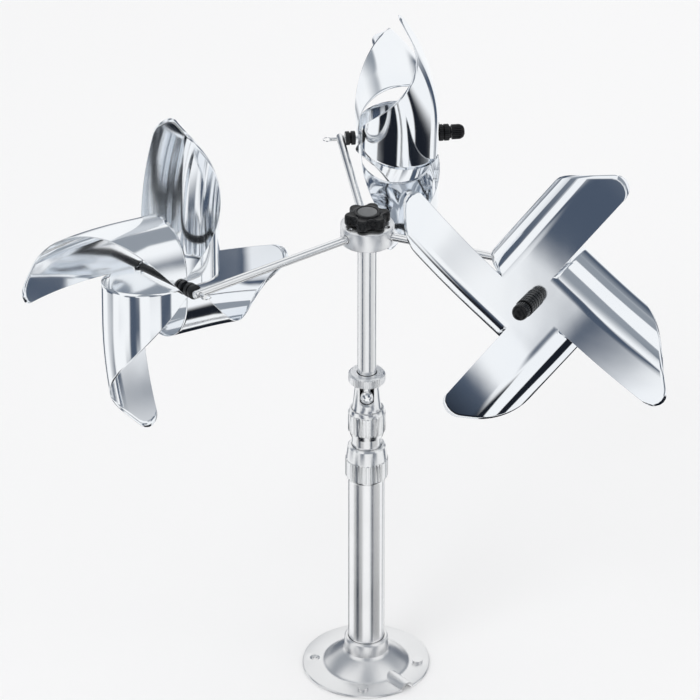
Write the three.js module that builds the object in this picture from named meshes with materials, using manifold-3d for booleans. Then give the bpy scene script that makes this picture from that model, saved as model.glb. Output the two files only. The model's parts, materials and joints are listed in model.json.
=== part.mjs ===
// Wind-driven reflective bird repeller: a telescoping deck mast with a tilting ball head
// that carries a free-spinning hub, three horizontal arms and three mirrored pinwheels.
// Millimetres, +Z up. The origin is the centre of the mast's foot, on the deck.
import * as THREE from 'three';
import { mergeVertices } from 'three/addons/utils/BufferGeometryUtils.js';
import Module from 'manifold-3d';

const wasm = await Module();
wasm.setup();

// ---------------------------------------------------------------- driving dimensions
const GAP = 0.3; // clearance between touching pieces
const RUNNING = 0.08; // radial clearance of a shaft that turns in its hole
const THROUGH = 4; // how far a cutting tool runs past what it cuts
const ROUND = 24; // sides of the large round pieces
const SMALL_ROUND = 14; // sides of the small round pieces

const FLANGE = { radius: 45, plate: 2, edge: 0.6, domeRadius: 30.3, domeRise: 14.6, shell: 1.6 };
const DOME_RINGS = [30.3, 27, 23.5, 20, 16.8]; // radii where the dome's profile has a corner
const COLLAR = { radius: 15.5, bottom: 12.6, top: 23.9, chamfer: 1.1 };
const SCREW_HOLES = { count: 4, circleRadius: 36.5, radius: 2.2, sinkRadius: 3.6, firstDeg: -4 };
const TUNNEL = { deg: -50, outerRadius: 6, innerRadius: 4.6, start: 20, roofStart: 24 };

const MAST = { radius: 12.7, wall: 1.6, top: 158 };
const FOOT_PLUG = 3;
const LOWER_NUT = { bottom: 156.3, knurlTop: 172, top: 182.5, radius: 14.7, topRadius: 12.2 };
const LOWER_NUT_BEVEL = 1.6;
const SQUEEZE_RING = { top: 174.5, split: 1.2 };
const EXTENSION = { radius: 10.3, wall: 1.4, bottom: 62, top: 196 };
const UPPER_NUT = { bottom: 190.2, knurlBottom: 194.5, knurlTop: 208.6, top: 211.5 };
const UPPER_NUT_RADII = { bottom: 11.2, knurl: 12.85, top: 11.6 };
const KNURL = { teeth: 24, depth: 0.45, bevel: 0.8 };

const BALL = { z: 221.2, radius: 6.8, stemRadius: 4.4, stemInPole: 12 };
const CUP = { bottom: 186.5, top: 232, topRadius: 8.3, waistZ: 213.4, waistRadius: 9.6, rimZ: 211.8 };
const CUP_BORE = 7.1;
const CUP_SLOT_HALF_WIDTH = 4.9;
const LOCK_RING = { bottom: 232.3, top: 239.6, radius: 12.6, bore: 7 };

const POLE = { radius: 6.45, bottom: 234.6, top: 339.4 };
const SPINDLE = { radius: 4, bottom: 330, top: 359 };
const HUB = { radius: 18, bottom: 340.9, top: 353.8, chamfer: 1.4, edge: 0.6, bore: 9.3, lip: 1.2 };
const WASHER = { radius: 8.4, bottom: 339.7, top: 340.6 };
const BEARING = { outer: 9, inner: 4.3, height: 4 };
const KNOB = { bottom: 354.4, top: 361.8, lobes: 6, radius: 13.6, lobeRise: 1.9, firstDeg: 13 };
const KNOB_EDGE = 1.1;
const KNOB_CROWN = { radius: 8.6, rise: 0.9 };
const KNOB_DISC = { radius: 6.6, sink: 1, thickness: 0.7 };

const ARM = { z: 347.3, length: 138, radius: 2.75, socketDepth: 6.5, firstDeg: 97.6, count: 3 };
const ARM_ROLL_DEG = [0, -7, 8]; // how far each axle's knob end is turned up in its socket
const SET_SCREW = { radius: 1.5, fromAxis: 14.4, top: 353.2, bottom: 350.4 };

const AXLE = { radius: 1.4, back: -7.6, front: 82 };
const CLIP = { at: -6, radius: 3, wire: 0.4, hole: 0.95 };
const REAR_HUB = { from: 3.4, radius: 4.9, waist: 3.9, waistHalf: 0.4, shoulderHalf: 0.6 };
const SLEEVE_RADIUS = 2.6;
const FRONT_HUB = { length: 12.2, radius: 5.9, neck: 4.3, neckLength: 1.2 };
const FRONT_GROOVE = { count: 2, first: 2.8, pitch: 3.6, depth: 0.7 };
const FRONT_CAP = { length: 9.4, radius: 5.3, flutes: 7, fluteRadius: 0.6 };

const SHEET = { front: 65, thickness: 0.6, halfDiagonal: 118, pinFromCentre: 112, tabRadius: 4.5 };
const SHEET_CENTRE_RADIUS = 26; // the uncut middle
const NARROWEST_STRIP = 1.5; // a blade is never cut finer than this towards its pinned tip
const PIN_HOLE_PLAY = 0.5; // room round the pin in the sheet's holes
const CURL = { flat: 24, flatTip: 10, exponent: 0.739 }; // how a blade's corner rolls to the back
const FREE_CORNER_ROUND = 9;
const FREE_CORNER_SWEEP = [38, 27, 12]; // how far each sheet's free corners lean back
const BLADES = 4;
const PANELS = { across: 4, along: 16 }; // flat facets of one bent blade
const PINWHEEL_PHASE_DEG = [9, 6, 325];
const PINWHEEL_NAMES = ['a', 'b', 'c'];

// ---------------------------------------------------------------- materials
const look = (color, roughness, metalness) =>
  new THREE.MeshStandardMaterial({ color, roughness, metalness });
const stainless = look(0xc9cbcd, 0.25, 1);
const satin = look(0xb9bbbd, 0.4, 1);
const mirror = look(0xe4e8ec, 0.05, 1);
const chrome = look(0xe0e2e4, 0.08, 1);
const blackPlastic = look(0x17181a, 0.35, 0);
const greyPlastic = look(0x55585c, 0.5, 0);
const rubber = look(0x141414, 0.8, 0);

// ---------------------------------------------------------------- helpers
const radians = THREE.MathUtils.degToRad;

function solidOf(geometry) {
  const bare = geometry.clone();
  bare.deleteAttribute('normal');
  bare.deleteAttribute('uv');
  const merged = mergeVertices(bare, 1e-4);
  return new wasm.Manifold(new wasm.Mesh({
    numProp: 3,
    vertProperties: new Float32Array(merged.attributes.position.array),
    triVerts: new Uint32Array(merged.index.array),
  }));
}

function geometryOf(solid) {
  const mesh = solid.getMesh();
  const geometry = new THREE.BufferGeometry();
  geometry.setAttribute('position', new THREE.BufferAttribute(mesh.vertProperties, 3));
  geometry.setIndex(new THREE.BufferAttribute(mesh.triVerts, 1));
  return geometry;
}

function carve(geometry, tools) {
  const cut = tools.reduce((left, tool) => left.subtract(solidOf(tool)), solidOf(geometry));
  return geometryOf(cut);
}

// A turned piece about Z. The profile is a list of [radius, z] corners.
function turned(profile, sides = ROUND) {
  const closed = profile[0][0] > 0 ? [...profile, profile[0]] : profile;
  const points = closed.map(([r, z]) => new THREE.Vector2(r, z));
  const lathe = new THREE.LatheGeometry(points, sides);
  lathe.rotateX(Math.PI / 2);
  return lathe;
}

function rod(radius, from, to, sides = SMALL_ROUND) {
  const cylinder = new THREE.CylinderGeometry(radius, radius, to - from, sides);
  cylinder.rotateX(Math.PI / 2);
  cylinder.translate(0, 0, (from + to) / 2);
  return cylinder;
}

function pipe(outer, inner, from, to, sides = ROUND) {
  return turned([[inner, from], [outer, from], [outer, to], [inner, to]], sides);
}

// A fluted band about Z, as on a knurled nut.
function knurledBand(radius, from, to) {
  const outline = new THREE.Shape();
  const steps = KNURL.teeth * 2;
  for (let step = 0; step < steps; step += 1) {
    const r = step % 2 === 0 ? radius : radius - KNURL.depth;
    const angle = (step / steps) * 2 * Math.PI;
    const point = [r * Math.cos(angle), r * Math.sin(angle)];
    if (step === 0) outline.moveTo(...point);
    else outline.lineTo(...point);
  }
  outline.closePath();
  const band = new THREE.ExtrudeGeometry(outline, { depth: to - from, bevelEnabled: false });
  band.translate(0, 0, from);
  return band;
}

function namedMesh(name, geometry, material, parent) {
  const mesh = new THREE.Mesh(geometry, material);
  mesh.name = name;
  parent.add(mesh);
  return mesh;
}

const object = new THREE.Group();

// ---------------------------------------------------------------- deck flange and mast
function domeHeight(r) {
  return FLANGE.plate + FLANGE.domeRise * (1 - (r / FLANGE.domeRadius) ** 2);
}

function baseFlange() {
  const bore = MAST.radius + GAP;
  const outside = DOME_RINGS.map((r) => [r, domeHeight(r)]);
  const drop = FLANGE.shell + 0.4;
  const inside = DOME_RINGS.map((r) => [r - FLANGE.shell, domeHeight(r) - drop]);
  const flange = turned([
    [bore, inside.at(-1)[1]],
    ...inside.reverse(),
    [FLANGE.domeRadius - FLANGE.shell, 0],
    [FLANGE.radius, 0],
    [FLANGE.radius, FLANGE.plate - FLANGE.edge],
    [FLANGE.radius - FLANGE.edge, FLANGE.plate],
    ...outside,
    [COLLAR.radius, COLLAR.bottom],
    [COLLAR.radius, COLLAR.top - COLLAR.chamfer],
    [COLLAR.radius - COLLAR.chamfer, COLLAR.top],
    [bore, COLLAR.top],
  ], 32);

  const along = (shape) => {
    shape.rotateY(Math.PI / 2);
    shape.rotateZ(radians(TUNNEL.deg));
    return solidOf(shape);
  };
  const rim = solidOf(rod(FLANGE.radius, 0, TUNNEL.outerRadius + THROUGH, 32));
  const outward = FLANGE.radius + THROUGH;
  const roof = along(rod(TUNNEL.outerRadius, TUNNEL.roofStart, outward)).intersect(rim);
  const passage = along(rod(TUNNEL.innerRadius, TUNNEL.start, outward));
  let solid = solidOf(flange).add(roof).subtract(passage);

  for (let hole = 0; hole < SCREW_HOLES.count; hole += 1) {
    const angle = radians(SCREW_HOLES.firstDeg + (hole * 360) / SCREW_HOLES.count);
    const sink = SCREW_HOLES.sinkRadius;
    const drill = turned([
      [0, -THROUGH],
      [SCREW_HOLES.radius, -THROUGH],
      [SCREW_HOLES.radius, FLANGE.plate - 1],
      [sink, FLANGE.plate + 0.01],
      [sink, FLANGE.plate + 1],
      [0, FLANGE.plate + 1],
    ], 12);
    const [x, y] = [Math.cos(angle), Math.sin(angle)].map((c) => c * SCREW_HOLES.circleRadius);
    drill.translate(x, y, 0);
    solid = solid.subtract(solidOf(drill));
  }
  return geometryOf(solid);
}

namedMesh('base_flange', baseFlange(), stainless, object);
namedMesh('mast_tube', pipe(MAST.radius, MAST.radius - MAST.wall, 0, MAST.top), stainless, object);
namedMesh('tube_end_plug', rod(MAST.radius - MAST.wall - GAP, 0, FOOT_PLUG, ROUND), rubber, object);

// ---------------------------------------------------------------- telescoping section
const nutBore = EXTENSION.radius + GAP;

// The split ring that the lower nut squeezes on the extension tube.
function squeezeRing() {
  const ring = pipe(MAST.radius - 0.2, nutBore, MAST.top + GAP, SQUEEZE_RING.top);
  const split = new THREE.BoxGeometry(MAST.radius * 2, SQUEEZE_RING.split, MAST.top);
  split.translate(MAST.radius, 0, LOWER_NUT.top);
  return carve(ring, [split]);
}

function lowerNut() {
  const { bottom, knurlTop, top, radius, topRadius } = LOWER_NUT;
  const bevelTop = bottom + LOWER_NUT_BEVEL;
  const band = solidOf(knurledBand(radius, bevelTop, knurlTop));
  const core = solidOf(turned([
    [0, bottom],
    [radius - LOWER_NUT_BEVEL, bottom],
    [radius - KNURL.depth, bevelTop],
    [radius - KNURL.depth, knurlTop + 0.6],
    [topRadius + 0.6, top - 0.8],
    [topRadius, top],
    [0, top],
  ]));
  const bore = solidOf(turned([
    [0, bottom - THROUGH],
    [MAST.radius + GAP, bottom - THROUGH],
    [MAST.radius + GAP, top - 7],
    [nutBore, top - 5],
    [nutBore, top + THROUGH],
    [0, top + THROUGH],
  ]));
  return geometryOf(band.add(core).subtract(bore));
}

function extensionTube() {
  const inner = EXTENSION.radius - EXTENSION.wall;
  return pipe(EXTENSION.radius, inner, EXTENSION.bottom, EXTENSION.top);
}

namedMesh('squeeze_ring', squeezeRing(), rubber, object);
namedMesh('lower_lock_nut', lowerNut(), stainless, object);
namedMesh('extension_tube', extensionTube(), stainless, object);

// ---------------------------------------------------------------- ball head
function upperNut() {
  const { bottom, knurlBottom, knurlTop, top } = UPPER_NUT;
  const radii = UPPER_NUT_RADII;
  const band = solidOf(knurledBand(radii.knurl, knurlBottom, knurlTop));
  const core = solidOf(turned([
    [0, bottom],
    [radii.bottom, bottom],
    [radii.knurl - KNURL.depth, knurlBottom - KNURL.bevel],
    [radii.knurl - KNURL.depth, knurlTop + KNURL.bevel],
    [radii.top, top],
    [0, top],
  ]));
  const bore = solidOf(rod(nutBore, bottom - THROUGH, top + THROUGH, ROUND));
  return geometryOf(band.add(core).subtract(bore));
}

// The cup holds the ball, and its front slot lets the stem swing down.
function ballCup() {
  const plug = EXTENSION.radius - EXTENSION.wall - GAP;
  const body = turned([
    [0, CUP.bottom],
    [plug, CUP.bottom],
    [plug, EXTENSION.top + GAP],
    [EXTENSION.radius, EXTENSION.top + GAP],
    [EXTENSION.radius, CUP.rimZ],
    [CUP.waistRadius, CUP.waistZ],
    [CUP.topRadius, CUP.top - 4],
    [CUP.topRadius, CUP.top],
    [0, CUP.top],
  ]);
  const bore = rod(CUP_BORE, BALL.z, CUP.top + THROUGH, ROUND);
  const socket = new THREE.SphereGeometry(CUP_BORE, 16, 10);
  socket.translate(0, 0, BALL.z);
  const slotFloor = rod(CUP_SLOT_HALF_WIDTH, 0, CUP_BORE * 3, 24);
  slotFloor.rotateX(Math.PI / 2);
  slotFloor.translate(0, 0, BALL.z);
  const slotHeight = CUP.top - BALL.z + THROUGH;
  const slot = new THREE.BoxGeometry(CUP_SLOT_HALF_WIDTH * 2, CUP_BORE * 3, slotHeight);
  slot.translate(0, (-CUP_BORE * 3) / 2, BALL.z + slotHeight / 2);
  return carve(body, [bore, socket, slotFloor, slot]);
}

function ballStud() {
  const ball = new THREE.SphereGeometry(BALL.radius, 16, 10);
  ball.rotateX(Math.PI / 2);
  ball.translate(0, 0, BALL.z);
  const stem = rod(BALL.stemRadius, BALL.z, POLE.bottom + BALL.stemInPole);
  return geometryOf(solidOf(ball).add(solidOf(stem)));
}

function lockRing() {
  const { bottom, top, radius, bore } = LOCK_RING;
  const [bandBottom, bandTop] = [bottom + KNURL.bevel, top - KNURL.bevel];
  const band = solidOf(knurledBand(radius, bandBottom, bandTop));
  const core = solidOf(turned([
    [0, bottom],
    [radius - 1, bottom],
    [radius - KNURL.depth, bandBottom],
    [radius - KNURL.depth, bandTop],
    [radius - 1.2, top],
    [0, top],
  ]));
  return geometryOf(band.add(core).subtract(solidOf(rod(bore, bottom - 1, top + 1, ROUND))));
}

function pole() {
  const tube = rod(POLE.radius, POLE.bottom, POLE.top, ROUND);
  const stemEnd = POLE.bottom + BALL.stemInPole + GAP;
  const stemHole = rod(BALL.stemRadius + GAP, POLE.bottom - 1, stemEnd);
  const spindleHole = rod(SPINDLE.radius + GAP, SPINDLE.bottom - GAP, POLE.top + 1);
  return carve(tube, [stemHole, spindleHole]);
}

namedMesh('upper_lock_nut', upperNut(), stainless, object);
namedMesh('ball_cup', ballCup(), stainless, object);
namedMesh('ball_stud', ballStud(), chrome, object);
namedMesh('lock_ring', lockRing(), satin, object);
namedMesh('pole', pole(), stainless, object);
namedMesh('spindle', rod(SPINDLE.radius, SPINDLE.bottom, SPINDLE.top), satin, object);
const washer = pipe(WASHER.radius, SPINDLE.radius + GAP, WASHER.bottom, WASHER.top);
namedMesh('thrust_washer', washer, satin, object);

// ---------------------------------------------------------------- star knob
const crownTop = KNOB.top + KNOB_CROWN.rise;

function starKnob() {
  const outline = new THREE.Shape();
  const steps = KNOB.lobes * 6;
  for (let step = 0; step <= steps; step += 1) {
    const angle = (step / steps) * 2 * Math.PI;
    const wave = Math.cos(KNOB.lobes * (angle - radians(KNOB.firstDeg)));
    const r = KNOB.radius + KNOB.lobeRise * Math.sign(wave) * Math.abs(wave) ** 0.7;
    const point = [r * Math.cos(angle), r * Math.sin(angle)];
    if (step === 0) outline.moveTo(...point);
    else if (step < steps) outline.lineTo(...point);
  }
  outline.closePath();
  const body = new THREE.ExtrudeGeometry(outline, {
    depth: KNOB.top - KNOB.bottom - 2 * KNOB_EDGE,
    bevelThickness: KNOB_EDGE,
    bevelSize: KNOB_EDGE,
    bevelOffset: -KNOB_EDGE,
    bevelSegments: 1,
  });
  body.translate(0, 0, KNOB.bottom + KNOB_EDGE);
  const crown = rod(KNOB_CROWN.radius, KNOB.top - 1, crownTop, ROUND);
  const recess = rod(KNOB_DISC.radius + GAP, crownTop - KNOB_DISC.sink, crownTop + 1, ROUND);
  const threadHole = rod(SPINDLE.radius + GAP, KNOB.bottom - 1, SPINDLE.top + GAP);
  const solid = solidOf(body).add(solidOf(crown));
  return geometryOf(solid.subtract(solidOf(recess)).subtract(solidOf(threadHole)));
}

const discBottom = crownTop - KNOB_DISC.sink + GAP;
const knobDisc = rod(KNOB_DISC.radius, discBottom, discBottom + KNOB_DISC.thickness, ROUND);
namedMesh('star_knob', starKnob(), blackPlastic, object);
namedMesh('knob_disc', knobDisc, greyPlastic, object);

// ---------------------------------------------------------------- spinning hub and arms
const rotor = new THREE.Group();
object.add(rotor);

function hub() {
  const { radius, bottom, top, chamfer, edge, bore, lip } = HUB;
  const body = turned([
    [SPINDLE.radius + 1, bottom],
    [radius - edge, bottom],
    [radius, bottom + edge],
    [radius, top - chamfer],
    [radius - chamfer, top],
    [SPINDLE.radius + 1, top],
  ], ROUND);
  const tools = [rod(bore, bottom + lip, top - lip, ROUND)];
  for (let arm = 0; arm < ARM.count; arm += 1) {
    const angle = radians(ARM.firstDeg + (arm * 360) / ARM.count);
    const socket = rod(ARM.radius + GAP, HUB.radius - ARM.socketDepth, HUB.radius + THROUGH);
    socket.rotateY(Math.PI / 2);
    socket.rotateZ(angle);
    socket.translate(0, 0, ARM.z);
    const screwHole = rod(SET_SCREW.radius + GAP, ARM.z, top + 1, 16);
    screwHole.translate(SET_SCREW.fromAxis * Math.cos(angle), SET_SCREW.fromAxis * Math.sin(angle), 0);
    tools.push(socket, screwHole);
  }
  return carve(body, tools);
}

function bearing(from) {
  return pipe(BEARING.outer, SPINDLE.radius + RUNNING, from, from + BEARING.height, ROUND);
}

function armRod() {
  const round = 2; // length of the rounded end
  const inner = HUB.radius - ARM.socketDepth + GAP;
  const outer = ARM.length + ARM.radius + 1;
  const body = turned([
    [0, inner],
    [ARM.radius, inner],
    [ARM.radius, outer - round],
    [ARM.radius * 0.75, outer - round * 0.35],
    [0, outer],
  ], SMALL_ROUND);
  body.rotateY(Math.PI / 2);
  const pinHole = rod(AXLE.radius + GAP, -ARM.radius - 1, ARM.radius + 1, 16);
  pinHole.rotateX(Math.PI / 2);
  pinHole.translate(ARM.length, 0, 0);
  return carve(body, [pinHole]);
}

function setScrew() {
  const { radius, bottom, top } = SET_SCREW;
  return carve(rod(radius, bottom, top, 16), [rod(0.75, top - 1.4, top + 1, 6)]);
}

namedMesh('rotor_hub', hub(), satin, rotor);
const bearingInset = HUB.lip + GAP;
namedMesh('lower_bearing', bearing(HUB.bottom + bearingInset), stainless, rotor);
namedMesh('upper_bearing', bearing(HUB.top - bearingInset - BEARING.height), stainless, rotor);

// ---------------------------------------------------------------- pinwheel pieces
// A pinwheel's own frame has +Z along the axle towards the knob and +X up.

// Follows the rolled blade from the centre: distance out, depth back, and heading.
function curlPath() {
  const path = [];
  const fine = 20;
  const steps = PANELS.along * fine;
  const length = SHEET.pinFromCentre + SHEET.tabRadius;
  let [out, back] = [0, 0];
  for (let i = 0; i <= steps; i += 1) {
    const s = (i / steps) * length;
    const along = Math.max(0, s - CURL.flat) / (SHEET.pinFromCentre - CURL.flat - CURL.flatTip);
    const heading = Math.PI * Math.min(1, along) ** CURL.exponent;
    if (i % fine === 0) path.push({ s, out, back, heading });
    out += (Math.cos(heading) * length) / steps;
    back += (Math.sin(heading) * length) / steps;
  }
  return path;
}

// How wide the blade's triangle is, at a distance s along the curl.
function bladeEdges(s) {
  const r = FREE_CORNER_ROUND;
  const cornerCentre = SHEET.halfDiagonal - r * (1 + Math.SQRT2);
  const rounded = s < r * (1 + Math.SQRT1_2);
  const corner = cornerCentre + Math.sqrt(Math.max(0, r * r - (s - r) ** 2));
  const straight = rounded ? corner : SHEET.halfDiagonal - s;
  const fromPin = Math.abs(s - SHEET.pinFromCentre);
  const tab = fromPin < SHEET.tabRadius ? Math.sqrt(SHEET.tabRadius ** 2 - fromPin ** 2) : 0;
  return { near: tab > 0 ? -tab : GAP / 2, far: Math.max(straight, tab, NARROWEST_STRIP) };
}

// One blade: a flat slab of small panels, bent along the curl. Each blade's pinned tip
// lies one sheet further back than the one before it.
function blade(index, cornerSweep) {
  const slab = new THREE.BoxGeometry(1, 1, 1, PANELS.across, PANELS.along, 1);
  const path = curlPath();
  const points = slab.attributes.position;
  const stack = index * (SHEET.thickness + GAP);
  for (let i = 0; i < points.count; i += 1) {
    const row = Math.round((points.getY(i) + 0.5) * PANELS.along);
    const across = points.getX(i) + 0.5;
    const offset = points.getZ(i) * SHEET.thickness;
    const { s, out, back, heading } = path[row];
    const { near, far } = bladeEdges(s);
    const a = near + across * (far - near);
    const pastFlat = Math.max(0, a - CURL.flat) / (SHEET.halfDiagonal - CURL.flat);
    const sweep = cornerSweep * pastFlat ** 2;
    const late = stack * (s / SHEET.pinFromCentre) ** 2;
    points.setXYZ(
      i,
      a,
      out + offset * Math.sin(heading),
      SHEET.front - back - sweep - late + offset * Math.cos(heading),
    );
  }
  slab.rotateZ((index * 2 * Math.PI) / BLADES);
  return solidOf(slab);
}

// The stack of pinned tips lies between these two distances from the arm.
const pinnedBack = curlPath().at(-1).back;
const tipStack = {
  from: SHEET.front - pinnedBack - (BLADES - 1) * (SHEET.thickness + GAP) - SHEET.thickness,
  to: SHEET.front - pinnedBack + SHEET.thickness,
};

function bladeSheet(cornerSweep) {
  const half = SHEET.thickness / 2;
  const middle = rod(SHEET_CENTRE_RADIUS, SHEET.front - half, SHEET.front + half, 24);
  let sheet = solidOf(middle);
  for (let index = 0; index < BLADES; index += 1) {
    sheet = sheet.add(blade(index, cornerSweep));
  }
  const pinHole = rod(AXLE.radius + PIN_HOLE_PLAY, 0, SHEET.front + THROUGH, 16);
  return geometryOf(sheet.subtract(solidOf(pinHole)));
}

function rearHub() {
  const { from, radius, waist, waistHalf, shoulderHalf } = REAR_HUB;
  const to = tipStack.from - GAP;
  const middle = (from + to) / 2;
  const bore = AXLE.radius + RUNNING;
  return turned([
    [bore, from],
    [radius, from],
    [radius, middle - shoulderHalf],
    [waist, middle - waistHalf],
    [waist, middle + waistHalf],
    [radius, middle + shoulderHalf],
    [radius, to],
    [bore, to],
  ], SMALL_ROUND);
}

function frontHub() {
  const { length, radius, neck, neckLength } = FRONT_HUB;
  const { count, first, pitch, depth } = FRONT_GROOVE;
  const from = SHEET.front + SHEET.thickness / 2 + GAP;
  const bore = AXLE.radius + RUNNING;
  const profile = [[bore, from], [radius, from]];
  const neckStart = from + length - neckLength;
  for (let groove = 0; groove < count; groove += 1) {
    const z = from + first + groove * pitch;
    profile.push([radius, z], [radius - depth, z + 0.3], [radius - depth, z + 0.7], [radius, z + 1]);
  }
  profile.push([radius, neckStart - 0.4], [neck, neckStart]);
  profile.push([neck, from + length], [bore, from + length]);
  return turned(profile, SMALL_ROUND);
}

function frontCap() {
  const { length, radius, flutes, fluteRadius } = FRONT_CAP;
  const from = SHEET.front + SHEET.thickness / 2 + FRONT_HUB.length + 2 * GAP;
  const cap = turned([
    [0, from],
    [radius, from],
    [radius, from + length * 0.55],
    [radius * 0.86, from + length * 0.85],
    [radius * 0.5, from + length],
    [0, from + length],
  ], SMALL_ROUND);
  const grooves = [];
  for (let i = 0; i < flutes; i += 1) {
    const groove = rod(fluteRadius, from - 1, from + length * 0.62, 4);
    const angle = (i * 2 * Math.PI) / flutes;
    groove.translate(radius * Math.cos(angle), radius * Math.sin(angle), 0);
    grooves.push(groove);
  }
  return carve(cap, [rod(AXLE.radius + RUNNING, from - 1, AXLE.front + GAP), ...grooves]);
}

function axlePin() {
  const crossHole = rod(CLIP.hole, -AXLE.radius - 1, AXLE.radius + 1, 8);
  crossHole.rotateX(Math.PI / 2);
  crossHole.translate(0, 0, CLIP.at);
  return carve(rod(AXLE.radius, AXLE.back, AXLE.front), [crossHole]);
}

// The wire ring through the pin's cross hole, which keeps the pin in the arm.
function clip() {
  const ring = new THREE.TorusGeometry(CLIP.radius, CLIP.wire, 5, 16);
  ring.rotateY(Math.PI / 2);
  ring.translate(0, 0, CLIP.at - CLIP.radius);
  return ring;
}

function pinwheel(name, phaseDeg, cornerSweep) {
  const wheel = new THREE.Group();
  wheel.rotation.z = radians(phaseDeg);
  const sleeveEnd = SHEET.front - SHEET.thickness / 2 - GAP;
  const bore = AXLE.radius + RUNNING;
  const sleeve = pipe(SLEEVE_RADIUS, bore, tipStack.to + GAP, sleeveEnd, SMALL_ROUND);
  namedMesh(`rear_hub_${name}`, rearHub(), blackPlastic, wheel);
  namedMesh(`sleeve_${name}`, sleeve, blackPlastic, wheel);
  namedMesh(`blade_sheet_${name}`, bladeSheet(cornerSweep), mirror, wheel);
  namedMesh(`front_hub_${name}`, frontHub(), blackPlastic, wheel);
  namedMesh(`front_cap_${name}`, frontCap(), blackPlastic, wheel);
  return wheel;
}

PINWHEEL_NAMES.forEach((name, index) => {
  const arm = new THREE.Group();
  arm.rotation.order = 'ZYX';
  arm.rotation.z = radians(ARM.firstDeg + (index * 360) / ARM.count);
  arm.rotation.x = radians(-ARM_ROLL_DEG[index]);
  arm.position.z = ARM.z;
  rotor.add(arm);
  namedMesh(`arm_${name}`, armRod(), satin, arm);

  const axle = new THREE.Group();
  const up = new THREE.Vector3(0, 0, 1);
  const inward = new THREE.Vector3(-1, 0, 0);
  const forward = new THREE.Vector3(0, -1, 0);
  axle.applyMatrix4(new THREE.Matrix4().makeBasis(up, inward, forward));
  axle.position.set(ARM.length, 0, 0);
  arm.add(axle);
  namedMesh(`axle_pin_${name}`, axlePin(), satin, axle);
  namedMesh(`pin_clip_${name}`, clip(), satin, axle);
  axle.add(pinwheel(name, PINWHEEL_PHASE_DEG[index], FREE_CORNER_SWEEP[index]));

  const screwAngle = radians(ARM.firstDeg + (index * 360) / ARM.count);
  const screw = namedMesh(`set_screw_${name}`, setScrew(), stainless, rotor);
  screw.position.x = SET_SCREW.fromAxis * Math.cos(screwAngle);
  screw.position.y = SET_SCREW.fromAxis * Math.sin(screwAngle);
});

export default object;
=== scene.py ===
"""Looks of the wind-driven bird repeller: mirror pinwheels, polished mast and black plastic hubs."""
import json
import math

import bmesh
import bpy
from mathutils import Matrix, Vector


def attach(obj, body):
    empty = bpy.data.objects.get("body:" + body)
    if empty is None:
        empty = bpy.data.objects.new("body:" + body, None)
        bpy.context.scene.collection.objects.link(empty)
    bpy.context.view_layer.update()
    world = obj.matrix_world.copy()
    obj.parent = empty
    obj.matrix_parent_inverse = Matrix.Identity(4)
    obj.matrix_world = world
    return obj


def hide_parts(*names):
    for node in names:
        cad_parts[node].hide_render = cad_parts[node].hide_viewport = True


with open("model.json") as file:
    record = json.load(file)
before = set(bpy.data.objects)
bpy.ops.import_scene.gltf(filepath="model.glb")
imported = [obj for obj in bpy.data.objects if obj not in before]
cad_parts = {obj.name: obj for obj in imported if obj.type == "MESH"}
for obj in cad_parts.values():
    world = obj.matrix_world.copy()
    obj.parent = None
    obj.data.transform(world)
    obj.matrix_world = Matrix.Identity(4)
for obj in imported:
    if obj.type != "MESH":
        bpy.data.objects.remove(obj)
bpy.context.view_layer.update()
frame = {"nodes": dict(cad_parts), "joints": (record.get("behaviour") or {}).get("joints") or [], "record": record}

NODES = frame["nodes"]
BODIES = frame["record"]["behaviour"]["bodies"]
BODY_OF = {node: body for body, nodes in BODIES.items() for node in nodes}
SLOT_OF = {part["node"]: part["material_slot"] for part in frame["record"]["subparts"]}
MM = 0.001


# ---------------------------------------------------------------- camera and studio

VIEW_ELEVATION = math.radians(30.16)
VIEW_DISTANCE = 2.5
VIEW_LENS = 190.0
VIEW_TARGET = Vector((-0.0115, 0, 0.2565))


def make_camera():
    """A long lens from the slot's side, a little above the hub."""
    back = Vector((0, -math.cos(VIEW_ELEVATION), math.sin(VIEW_ELEVATION)))
    data = bpy.data.cameras.new("camera")
    data.lens = VIEW_LENS
    data.sensor_width = 36
    data.clip_end = 20
    camera = bpy.data.objects.new("camera", data)
    camera.location = VIEW_TARGET + back * VIEW_DISTANCE
    camera.rotation_mode = "QUATERNION"
    camera.rotation_quaternion = (-back).to_track_quat("-Z", "Y")
    bpy.context.scene.collection.objects.link(camera)
    bpy.context.scene.camera = camera


def plain_material(name, color, roughness):
    material = bpy.data.materials.new(name)
    material.use_nodes = True
    shader = material.node_tree.nodes["Principled BSDF"]
    shader.inputs["Base Color"].default_value = (*color, 1)
    shader.inputs["Roughness"].default_value = roughness
    return material


def stage_panel(name, corners, material):
    """A flat panel of the studio, given by its four corners."""
    mesh = bpy.data.meshes.new(name)
    mesh.from_pydata(corners, [], [(0, 1, 2, 3)])
    mesh.materials.append(material)
    panel = bpy.data.objects.new(name, mesh)
    bpy.context.scene.collection.objects.link(panel)
    return panel


def area_light(name, location, size, power):
    data = bpy.data.lights.new(name, "AREA")
    data.shape = "SQUARE"
    data.size = size
    data.energy = power
    light = bpy.data.objects.new(name, data)
    light.location = location
    light.rotation_mode = "QUATERNION"
    light.rotation_quaternion = (LIT_POINT - Vector(location)).to_track_quat("-Z", "Y")
    light.visible_glossy = False
    bpy.context.scene.collection.objects.link(light)


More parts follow.
